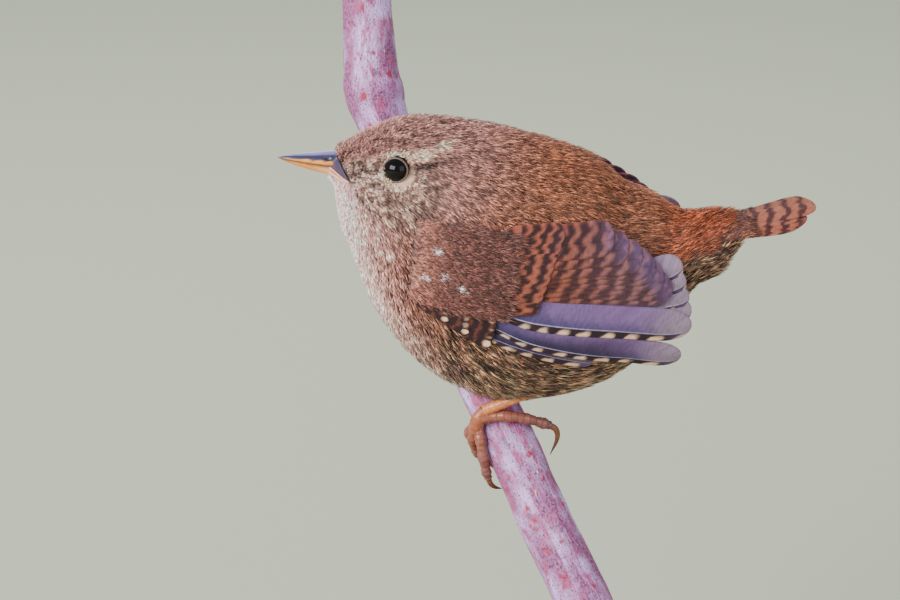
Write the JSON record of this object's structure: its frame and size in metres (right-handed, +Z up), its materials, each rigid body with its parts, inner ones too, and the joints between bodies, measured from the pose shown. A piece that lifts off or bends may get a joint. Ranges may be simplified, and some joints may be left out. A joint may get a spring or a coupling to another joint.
{
  "type": "wren",
  "caption": "Life-size wren clinging to a short cut length of slanting stem, tail cocked and wings folded, held on a round display stand.",
  "frame": {"origin": "centre of the display stand's flat underside", "axes": "+Z up, -X towards the bill, +X towards the tail, -Y towards the bird's left side"},
  "size_m": [0.096, 0.076, 0.1348],
  "materials": {
    "plumage": "soft barred brown feathers",
    "wing_feathers": "barred brown vanes with a faint gloss",
    "tail_feathers": "barred rufous vanes",
    "bill_dark": "satin blue-grey horn",
    "bill_pale": "satin orange-yellow horn",
    "eye": "glossy near-black",
    "leg_skin": "scaled pinkish brown skin",
    "claw_horn": "translucent brown horn",
    "bark": "smooth mauve bark with specks",
    "stand_wood": "satin dark turned wood",
    "stand_steel": "brushed",
    "stand_brass": "satin"
  },
  "bodies": {
    "root": {"head": "plumage", "neck": "plumage", "torso": "plumage", "rump": "plumage", "bill_upper": "bill_dark", "bill_lower": "bill_pale", "eye_left": "eye", "eye_right": "eye", "wing_left": "wing_feathers", "wing_right": "wing_feathers", "tail": "tail_feathers", "tarsus_left": "leg_skin", "tarsus_right": "leg_skin", "foot_left": "leg_skin", "foot_right": "leg_skin", "claw_left_hind": "claw_horn", "claw_left_outer": "claw_horn", "claw_left_middle": "claw_horn", "claw_left_inner": "claw_horn", "claw_right_hind": "claw_horn", "claw_right_outer": "claw_horn", "claw_right_middle": "claw_horn", "claw_right_inner": "claw_horn", "perch": "bark", "stand_base": "stand_wood", "stand_rod": "stand_steel", "stand_collar": "stand_brass"}
  },
  "joints": []
}
